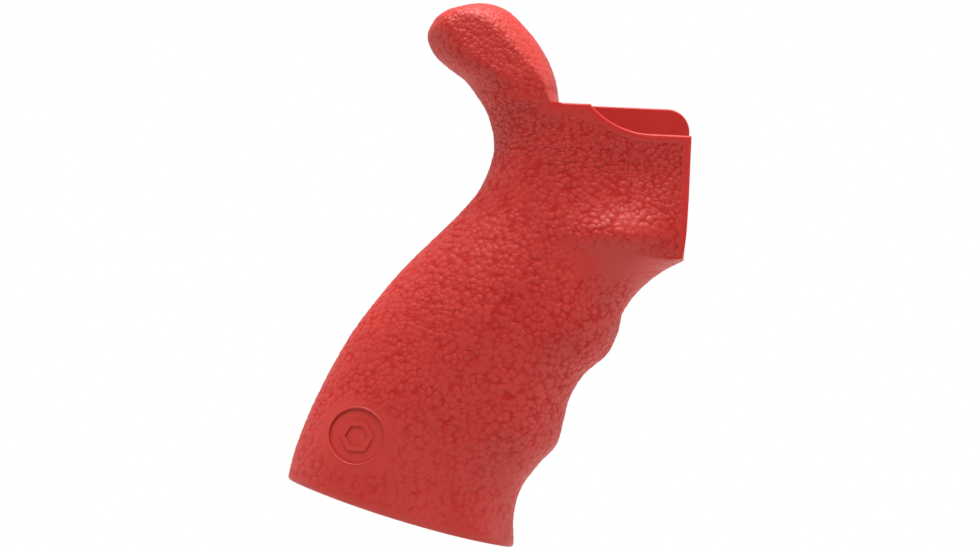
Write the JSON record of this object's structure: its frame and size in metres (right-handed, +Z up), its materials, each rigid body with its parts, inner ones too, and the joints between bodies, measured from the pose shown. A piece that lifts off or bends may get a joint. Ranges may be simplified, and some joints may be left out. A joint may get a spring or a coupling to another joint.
{
  "type": "pistol-style hand grip",
  "caption": "Overmoulded pistol-style hand grip: grooved front strap, upswept rear horn, open pocket, hollow open-ended handle, and fixing screw with split lock washer.",
  "frame": {"origin": "on the screw's axis where its thread leaves the pocket floor, in the middle plane of the grip", "axes": "+X forward, out of the pocket's open front; +Z up, square to the flat top edges; +Y to the side with the full-height wall, so the cut-down wall and the badge are on -Y. The screw leans 27 degrees forward of +Z."},
  "size_m": [0.0928, 0.0324, 0.13],
  "materials": {
    "core": "smooth moulded rigid plastic, satin",
    "skin": "pebbled soft rubber, satin",
    "washer": "zinc-plated spring steel",
    "screw": "black oxide steel"
  },
  "bodies": {
    "grip": {"core": "core", "rubber_skin": "skin"},
    "washer": {"lock_washer": "washer"},
    "screw": {"grip_screw": "screw"}
  },
  "joints": [
    {"name": "screw_travel", "type": "slide", "parent": "grip", "child": "washer", "axis": [0.454, 0, 0.891], "range_m": [-0.01269, 0]},
    {"name": "screw_turn", "type": "hinge", "parent": "washer", "child": "screw", "pos_m": [0, 0, 0], "axis": [0.454, 0, 0.891], "range_deg": [-5040, 0]}
  ],
  "couplings": [
    {"joint": "screw_turn", "follows": "screw_travel", "rad_per_m": 6927.4}
  ]
}
